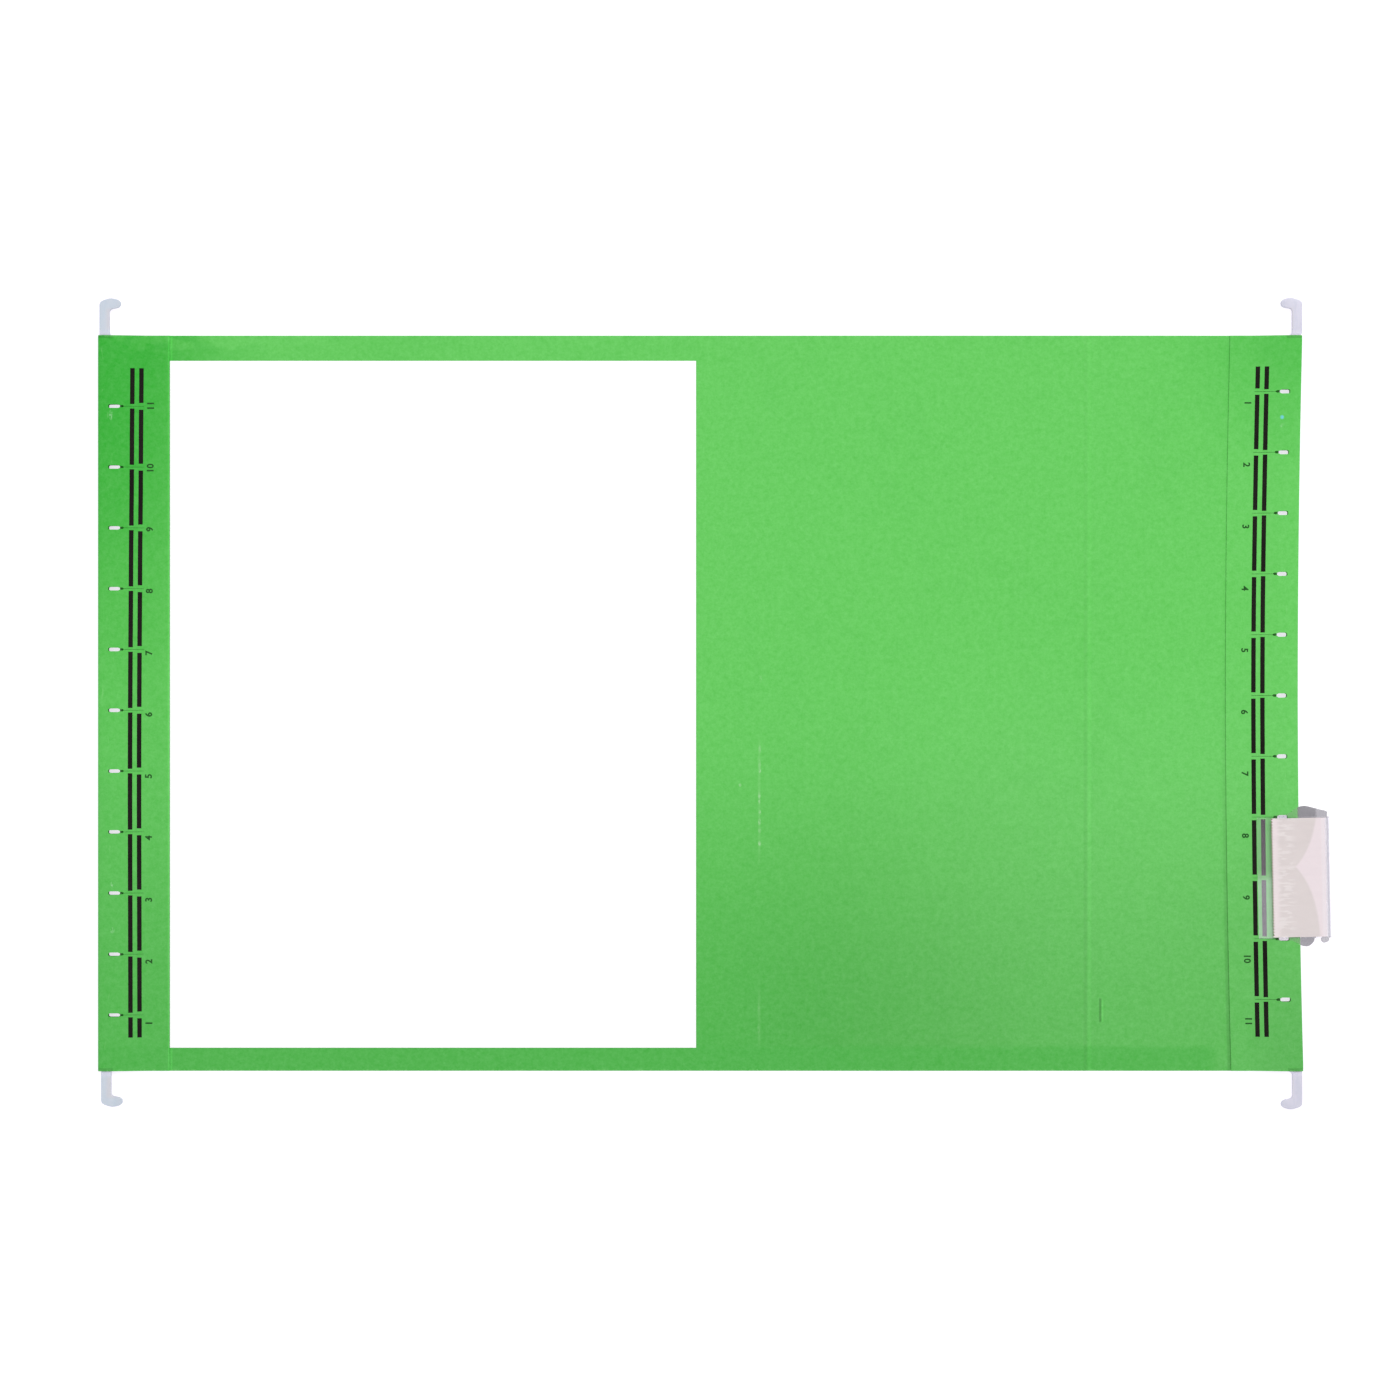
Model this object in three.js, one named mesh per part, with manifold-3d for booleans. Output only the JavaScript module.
// Hanging (suspension) file folder, laid open flat.
// Millimetres. +Z is up, out of the open folder; X runs from the back panel (-X) to the front
// panel (+X); Y runs along the hanger bars. The origin is the middle of the base strip, on the
// folder's underside.
//
// The card is modelled as three facets that meet at the two base creases. Each panel ends in a
// hem: the sheet turns back over a flat steel hanger bar and is glued down on the panel. Each bar
// end is staked to a plastic hook that stands out of the hem. A folded clear tab is clipped
// through two of the front hem's slots and holds a label.
//
// Back hem parts are drawn at the front (+X), then turned half a turn about Z.

import * as THREE from 'three';
import { mergeVertices } from 'three/addons/utils/BufferGeometryUtils.js';
import Module from 'manifold-3d';

// ---------------------------------------------------------------- dimensions
const HALF_W = 318 / 2;       // half the card's width, along the hanger bars
const EDGE_X = 260.4;         // outside of the front hem, from the middle of the base
const BACK_EDGE_X = 260.1;    // and of the back hem
const CREASE_X = 25.7;
const CREASE_GAP = 0.05;      // each facet stops this far short of its crease
const PANEL_X0 = CREASE_X + CREASE_GAP;
const CARD_T = 0.3;           // card thickness

const HEM_H = 3.0;            // hem height over the bar
const HEM_R = HEM_H / 2;      // outside radius of the wrap
const HEM_FLAT_X = 255.0;     // the flap stays level over the bar to here ...
const HEM_DOWN_X = 238.5;     // ... and slopes gently down to the panel here
const HEM_BEND_SHIFT = 0.2;   // the flap's lower face bends this much further out
const FLAP_X = 229.35;        // free edge of the turned-over flap
const FLAP_GAP = 0.14;        // glue line thickness under the flap

const SLOT_COUNT = 11;
const SLOT_PITCH = 26.28;
const SLOT_FIRST_Y = 134.75;  // slots are counted from here towards -Y
const WINDOW_X0 = 251.4;      // each slot: a window over the hem's shoulder, ...
const BACK_WINDOW_X0 = 250.8; // a little longer on the back hem ...
const WINDOW_X1 = 255.5;
const WINDOW_W = 1.8;
const SLIT_X0 = 240.4;        // ... and a slit in the flap, running inwards from it
const SLIT_W = 0.32;
const SLIT_OVERLAP = 0.01;    // the slit's cut runs this far into the window
const SLIT_CLEARANCE = 0.05;  // and stays this far above the panel
const CUT_MARGIN = 1;         // how far cuts run past the surfaces they open

const BOW = 1.9;              // the front hem is sprung inwards by this much at its middle
const BOW_HALF = 156;         // half the length of the bow
const BOW_FULL_X = 228;       // the bow grows from the crease to its full amount here
const BOW_STEPS = 24;         // divisions along Y in the bowed parts
const SKEW = 0.003;           // outward lean per millimetre towards the -Y end

const BAR_X0 = 256.2;         // hanger bar, inside the hem
const BAR_X1 = 259.5;
const BAR_MID_X = (BAR_X0 + BAR_X1) / 2;
const BAR_Z0 = 0.9;
const BAR_Z1 = 2.1;
const BAR_HALF_L = 156.5;

const PEG_Y = 152;            // stake that holds the bar
const PEG_R = 0.8;
const PEG_CLEARANCE = 0.1;    // between the peg and its hole
const PEG_Z0 = 0.6;
const PEG_H = 1.7;
const PEG_HOLE_H = 6;         // length of the hole's cutter

const GLUE_X0 = 229.9;
const GLUE_X1 = 236.4;
const GLUE_CLEARANCE = 0.02;  // between the glue and the card above and below
const GLUE_INSET = 3;         // from the card's side edges

const ARC_STEPS = 8;          // segments in each half-round wrap

// ---------------------------------------------------------------- materials
const CARD = { color: 0x69cd64, roughness: 0.8 };
const GLUE = { color: 0xd8c489, roughness: 0.5 };
const STEEL = { color: 0xb9bcc0, roughness: 0.35, metalness: 1 };
const HOOK_PLASTIC = { color: 0xd0d4e2, roughness: 0.35 };
const PAPER = { color: 0xfefefe, roughness: 0.9 };
const CLEAR_PLASTIC = { color: 0xdfe3ea, roughness: 0.15, transparent: true, opacity: 0.35 };
const LABEL_PAPER = { color: 0xe4dad9, roughness: 0.85 };

function makeMesh(name, geometry, material) {
  const mesh = new THREE.Mesh(geometry, new THREE.MeshStandardMaterial(material));
  mesh.name = name;
  return mesh;
}

// ---------------------------------------------------------------- solids
const wasm = await Module();
wasm.setup();

function toManifold(geometry) {
  const bare = geometry.clone();
  bare.deleteAttribute('normal');
  bare.deleteAttribute('uv');
  const merged = mergeVertices(bare, 1e-5);
  return new wasm.Manifold(new wasm.Mesh({
    numProp: 3,
    vertProperties: new Float32Array(merged.attributes.position.array),
    triVerts: new Uint32Array(merged.index.array),
  }));
}

function fromManifold(solid) {
  const { vertProperties, triVerts } = solid.getMesh();
  const geometry = new THREE.BufferGeometry();
  const positions = new Float32Array(vertProperties);
  geometry.setAttribute('position', new THREE.BufferAttribute(positions, 3));
  geometry.setIndex(new THREE.BufferAttribute(new Uint32Array(triVerts), 1));
  return geometry;
}

function box(x0, x1, y0, y1, z0, z1) {
  return new THREE.BoxGeometry(x1 - x0, y1 - y0, z1 - z0)
    .translate((x0 + x1) / 2, (y0 + y1) / 2, (z0 + z1) / 2);
}

const shapeFrom = (points) => new THREE.Shape(points.map(([x, y]) => new THREE.Vector2(x, y)));

// A profile drawn in X and Z, run along Y.
function alongY(points, y0, y1, steps = 1) {
  return new THREE.ExtrudeGeometry(shapeFrom(points), { depth: y1 - y0, steps, bevelEnabled: false })
    .rotateX(Math.PI / 2)
    .translate(0, y1, 0);
}

const rectangle = (x0, x1, z0, z1) => [[x0, z0], [x1, z0], [x1, z1], [x0, z1]];

const DOWN = -Math.PI / 2;
const UP = Math.PI / 2;

function arc(centreX, centreZ, radius, from, to) {
  const points = [];
  for (let i = 0; i <= ARC_STEPS; i++) {
    const angle = from + ((to - from) * i) / ARC_STEPS;
    points.push([centreX + radius * Math.cos(angle), centreZ + radius * Math.sin(angle)]);
  }
  return points;
}

// An upright cylinder on the bar's centre line, for the peg and its hole.
function stake(radius, height, y, z) {
  return toManifold(new THREE.CylinderGeometry(radius, radius, height, 16)
    .rotateX(Math.PI / 2)
    .translate(BAR_MID_X, y, z));
}

// ---------------------------------------------------------------- placing
function halfTurn(geometry) {
  return geometry.clone().rotateZ(Math.PI);
}

// Mirrors an indexed geometry, swapping two corners of each triangle so it still faces outwards.
function mirrorY(geometry) {
  const mirrored = geometry.clone().scale(1, -1, 1);
  const index = mirrored.index.array;
  for (let i = 0; i < index.length; i += 3) {
    [index[i + 1], index[i + 2]] = [index[i + 2], index[i + 1]];
  }
  return mirrored;
}

// Inward shift of the front panel: a shallow curve along Y that fades to nothing at the crease.
function bowAt(x, y) {
  const fade = Math.min(1, Math.max(0, (x - PANEL_X0) / (BOW_FULL_X - PANEL_X0)));
  const spring = BOW * Math.max(0, 1 - (y / BOW_HALF) ** 2);
  const lean = SKEW * Math.min(BOW_HALF, Math.max(0, -y));
  return (spring - lean) * fade;
}

function bowed(geometry) {
  const result = geometry.clone();
  const position = result.attributes.position;
  for (let i = 0; i < position.count; i++) {
    const x = position.getX(i);
    position.setX(i, x - bowAt(x, position.getY(i)));
  }
  return result;
}

const slotY = (i) => SLOT_FIRST_Y - SLOT_PITCH * i;

// ---------------------------------------------------------------- card panels
function panelProfile(edgeX) {
  const wrapX = edgeX - HEM_R;
  const flapZ = CARD_T + FLAP_GAP;
  return [
    [PANEL_X0, 0],
    ...arc(wrapX, HEM_R, HEM_R, DOWN, UP),
    [HEM_FLAT_X, HEM_H],
    [HEM_DOWN_X, flapZ + CARD_T],
    [FLAP_X, flapZ + CARD_T],
    [FLAP_X, flapZ],
    [HEM_DOWN_X + HEM_BEND_SHIFT, flapZ],
    [HEM_FLAT_X + HEM_BEND_SHIFT, HEM_H - CARD_T],
    ...arc(wrapX, HEM_R, HEM_R - CARD_T, UP, DOWN),
    [PANEL_X0, CARD_T],
  ];
}

function panelCard(edgeX, windowX0, steps) {
  const top = HEM_H + CUT_MARGIN;
  let solid = toManifold(alongY(panelProfile(edgeX), -HALF_W, HALF_W, steps));
  for (let i = 0; i < SLOT_COUNT; i++) {
    const y = slotY(i);
    const windowCut = box(windowX0, WINDOW_X1, y - WINDOW_W / 2, y + WINDOW_W / 2,
      -CUT_MARGIN, top);
    const slitCut = box(SLIT_X0, windowX0 + SLIT_OVERLAP, y - SLIT_W / 2, y + SLIT_W / 2,
      CARD_T + SLIT_CLEARANCE, top);
    solid = solid.subtract(toManifold(windowCut)).subtract(toManifold(slitCut));
  }
  return fromManifold(solid);
}

// ---------------------------------------------------------------- glue under each flap
function hemGlue() {
  const profile = rectangle(GLUE_X0, GLUE_X1,
    CARD_T + GLUE_CLEARANCE, CARD_T + FLAP_GAP - GLUE_CLEARANCE);
  return alongY(profile, -HALF_W + GLUE_INSET, HALF_W - GLUE_INSET, BOW_STEPS);
}

// ---------------------------------------------------------------- hanger bars
function hangerBar(steps) {
  const profile = rectangle(BAR_X0, BAR_X1, BAR_Z0, BAR_Z1);
  let solid = toManifold(alongY(profile, -BAR_HALF_L, BAR_HALF_L, steps));
  for (const side of [-1, 1]) {
    solid = solid.subtract(
      stake(PEG_R + PEG_CLEARANCE, PEG_HOLE_H, side * PEG_Y, (BAR_Z0 + BAR_Z1) / 2));
  }
  return fromManifold(solid);
}

// ---------------------------------------------------------------- hooks
const HOOK_Z0 = 0.55;
const HOOK_T = 1.9;
const HOOK_BEVEL = 0.45;
const NECK_W = 4.4;
const COLLAR_X0 = 253.2;      // inner side of the collar inside the hem
const COLLAR_X1 = 259.75;     // and its outer side, at most
const BACK_COLLAR_X1 = 259.4;
const COLLAR_IN = 14;         // length of hook held inside the hem, before its reach is added
const COLLAR_END = 0.1;       // the collar's outer side runs this far past the card's side edge
const SHOULDER_END = 1.0;     // and meets the hook's outer side here

// The tray holds the bar's end; it is open to the outer side and upwards.
const TRAY_X0 = BAR_X0 - 0.15;
const TRAY_X1 = EDGE_X + 2;
const TRAY_Y0 = HALF_W - COLLAR_IN - CUT_MARGIN;
const TRAY_Y1 = BAR_HALF_L + 0.3;
const TRAY_Z0 = BAR_Z0 - 0.05;
const TRAY_Z1 = 4;

// Outline from the outer side round the tip and back down the neck. Points are [inwards from
// the hook's outer side, out from the card's side edge]. A row of one point is a straight line
// to it; a row of three is a Bezier curve's two controls and end.
const HOOK_OUTLINE = [
  [[0, 13.1]],
  [[0, 14.5], [1.0, 15.0], [2.3, 15.4]],
  [[3.4, 15.75], [4.2, 15.98], [5.1, 15.98]],
  [[7.0, 15.85], [9.2, 15.3], [9.25, 13.7]],
  [[9.25, 12.5], [8.4, 11.9], [7.3, 11.7]],
  [[6.0, 11.5]],
  [[5.0, 11.35], [NECK_W, 10.8], [NECK_W, 9.8]],
  [[NECK_W, 1.2]],
];

// outerX: outer side of the hook; reach: how much further than drawn it stands out of the hem.
const HOOKS = [
  { name: 'front_hook_left', outerX: 260.3, reach: 0.2, back: false, mirrored: false },
  { name: 'front_hook_right', outerX: 259.95, reach: 0.5, back: false, mirrored: true },
  { name: 'back_hook_right', outerX: 258.7, reach: -0.6, back: true, mirrored: false },
  { name: 'back_hook_left', outerX: 259.4, reach: 0, back: true, mirrored: true },
];

function hookShape(outerX, reach, collarX1) {
  const across = (inwards) => outerX - inwards;
  const out = (distance) => HALF_W + reach + distance;
  const collarX = Math.min(outerX, collarX1);
  const shape = new THREE.Shape();
  shape.moveTo(collarX, out(-COLLAR_IN));
  shape.lineTo(collarX, HALF_W + COLLAR_END);
  shape.lineTo(outerX, HALF_W + SHOULDER_END);
  for (const row of HOOK_OUTLINE) {
    const coordinates = row.flatMap(([inwards, distance]) => [across(inwards), out(distance)]);
    if (row.length === 1) shape.lineTo(...coordinates);
    else shape.bezierCurveTo(...coordinates);
  }
  // flare from the neck to the collar's inner side
  shape.bezierCurveTo(across(NECK_W), out(0.5), across(NECK_W + 0.6), out(-0.3),
    COLLAR_X0, out(-0.5));
  shape.lineTo(COLLAR_X0, out(-COLLAR_IN));
  shape.closePath();
  return shape;
}

// Drawn at the +Y end of the front hem.
function hook(outerX, reach, collarX1) {
  const body = new THREE.ExtrudeGeometry(hookShape(outerX, reach, collarX1), {
    depth: HOOK_T - 2 * HOOK_BEVEL,
    curveSegments: 6,
    bevelEnabled: true,
    bevelThickness: HOOK_BEVEL,
    bevelSize: HOOK_BEVEL,
    bevelOffset: -HOOK_BEVEL,
    bevelSegments: 2,
  }).translate(0, 0, HOOK_Z0 + HOOK_BEVEL);
  const tray = box(TRAY_X0, TRAY_X1, TRAY_Y0, TRAY_Y1, TRAY_Z0, TRAY_Z1);
  return fromManifold(toManifold(body)
    .subtract(toManifold(tray))
    .add(stake(PEG_R, PEG_H, PEG_Y, PEG_Z0 + PEG_H / 2)));
}

function placedHook({ name, outerX, reach, back, mirrored }) {
  const drawn = hook(outerX, reach, back ? BACK_COLLAR_X1 : COLLAR_X1);
  const handed = mirrored ? mirrorY(drawn) : drawn;
  return makeMesh(name, back ? halfTurn(handed) : bowed(handed), HOOK_PLASTIC);
}

// ---------------------------------------------------------------- paper sheet
// Lies on the back panel and the base.
function documentSheet() {
  const z0 = 0.36;
  const thickness = 0.16;
  return box(-229.2, -1.6, -149.0, 148.1, z0, z0 + thickness);
}

// ---------------------------------------------------------------- index tab
// In the tab's own frame X and Y start at the label's middle; Z is the folder's.
const TAB_X = 258.65;         // middle of the label, on the folder
const TAB_Y = -75.25;
const TAB_TURN = THREE.MathUtils.degToRad(1.15);
const LABEL_HALF_W = 11.6;
const LABEL_HALF_L = 25.7;
const LABEL_T = 0.2;
const SLEEVE_HALF_L = LABEL_HALF_L + 0.4;
const TAB_FOLD = 13.6;        // outer edge of the sleeve's fold
const TAB_FOOT = -17.5;       // edge of the foot
const TAB_FOOT_Z = 1.55;
const TAB_BEND = -12.35;      // where the slope up from the foot meets the back leaf
const TAB_FRONT_EDGE = -12.0; // free edge of the front leaf
const TAB_Z = 3.1;            // underside of the sleeve's back leaf
const TAB_T = 0.3;
const TAB_H = 1.1;            // height over both leaves
const PRONG_HALF_W = 1.6;
const PRONG_TIP_HALF_W = 1.3;
const PRONG_TIP_Z = 0.15;
const PRONG_TAPER_Z = 0.9;    // the prong narrows below here
const PRONG_T = 1.0;
const PRONG_OVERLAP = 0.15;   // how far it runs up into the leaf

// The front hem's slots the prongs go through, counted from 0, and each prong's X on the folder.
const PRONGS = [{ slot: 7, x: 251.9 }, { slot: 9, x: 252.68 }];

// Flat ear outlines, [x, y] on the folder: one at the sleeve's +Y end, two at its -Y end.
const EARS = [
  [
    [270.9, -52.0], [270.9, -47.1], [270.4, -46.5], [265.8, -45.3], [261.2, -44.3], [259.7, -44.5],
    [258.2, -45.2], [255.7, -46.5], [253.4, -48.2], [249.3, -48.2], [249.3, -52.0],
  ],
  [
    [249.7, -98.5], [249.7, -102.5], [253.7, -102.5], [256.0, -102.6], [258.4, -103.8],
    [260.1, -104.7], [262.2, -105.0], [264.0, -104.2], [265.4, -102.6], [265.9, -98.5],
  ],
  [
    [268.1, -98.5], [268.3, -102.4], [268.9, -103.3], [270.1, -103.4], [271.8, -102.4],
    [272.0, -98.5],
  ],
];

// A point on the folder, in the tab's own frame.
function inTab([x, y]) {
  const cos = Math.cos(TAB_TURN);
  const sin = Math.sin(TAB_TURN);
  return [(x - TAB_X) * cos + (y - TAB_Y) * sin, -(x - TAB_X) * sin + (y - TAB_Y) * cos];
}

// Foot, back leaf, fold at the outer edge, front leaf.
function sleeveProfile() {
  const radius = TAB_H / 2;
  const foldX = TAB_FOLD - radius;
  const foldZ = TAB_Z + radius;
  return [
    [TAB_FOOT, TAB_FOOT_Z],
    [TAB_FOOT + 0.9, TAB_FOOT_Z],
    [TAB_BEND, TAB_Z],
    ...arc(foldX, foldZ, radius, DOWN, UP),
    [TAB_FRONT_EDGE, TAB_Z + TAB_H],
    [TAB_FRONT_EDGE, TAB_Z + TAB_H - TAB_T],
    ...arc(foldX, foldZ, radius - TAB_T, UP, DOWN),
    [TAB_BEND - 0.1, TAB_Z + TAB_T],
    [TAB_FOOT + 0.8, TAB_FOOT_Z + TAB_T],
    [TAB_FOOT, TAB_FOOT_Z + TAB_T],
  ];
}

function ear(outline) {
  const shape = shapeFrom(outline.map(inTab));
  return new THREE.ExtrudeGeometry(shape, { depth: TAB_T, bevelEnabled: false })
    .translate(0, 0, TAB_Z);
}

// Runs down through a window of the hem.
function prong({ slot, x }) {
  const topZ = TAB_Z + PRONG_OVERLAP;
  const profile = [
    [-PRONG_TIP_HALF_W, PRONG_TIP_Z], [PRONG_TIP_HALF_W, PRONG_TIP_Z],
    [PRONG_HALF_W, PRONG_TAPER_Z], [PRONG_HALF_W, topZ],
    [-PRONG_HALF_W, topZ], [-PRONG_HALF_W, PRONG_TAPER_Z],
  ];
  return alongY(profile, -PRONG_T / 2, PRONG_T / 2).translate(...inTab([x, slotY(slot)]), 0);
}

function tabSleeve() {
  let solid = toManifold(alongY(sleeveProfile(), -SLEEVE_HALF_L, SLEEVE_HALF_L));
  for (const part of [...EARS.map(ear), ...PRONGS.map(prong)]) {
    solid = solid.add(toManifold(part));
  }
  return fromManifold(solid);
}

// Lies midway between the sleeve's two leaves.
function tabLabel() {
  const z = TAB_Z + TAB_H / 2;
  return box(-LABEL_HALF_W, LABEL_HALF_W, -LABEL_HALF_L, LABEL_HALF_L,
    z - LABEL_T / 2, z + LABEL_T / 2);
}

function indexTab() {
  const tab = new THREE.Group();
  tab.position.set(TAB_X, TAB_Y, 0);
  tab.rotation.z = TAB_TURN;
  tab.add(makeMesh('tab_sleeve', tabSleeve(), CLEAR_PLASTIC));
  tab.add(makeMesh('tab_label', tabLabel(), LABEL_PAPER));
  return tab;
}

// ---------------------------------------------------------------- assembly
const baseCard = box(-CREASE_X + CREASE_GAP, CREASE_X - CREASE_GAP, -HALF_W, HALF_W, 0, CARD_T);
const frontCard = bowed(panelCard(EDGE_X, WINDOW_X0, BOW_STEPS));
const backCard = halfTurn(panelCard(BACK_EDGE_X, BACK_WINDOW_X0, 1));

const group = new THREE.Group();
group.add(
  makeMesh('base_panel_card', baseCard, CARD),
  makeMesh('front_panel_card', frontCard, CARD),
  makeMesh('back_panel_card', backCard, CARD),
  makeMesh('front_hem_glue', bowed(hemGlue()), GLUE),
  makeMesh('back_hem_glue', halfTurn(hemGlue()), GLUE),
  makeMesh('front_hanger_bar', bowed(hangerBar(BOW_STEPS)), STEEL),
  makeMesh('back_hanger_bar', halfTurn(hangerBar(1)), STEEL),
  ...HOOKS.map(placedHook),
  makeMesh('document_sheet', documentSheet(), PAPER),
  indexTab(),
);

export default group;
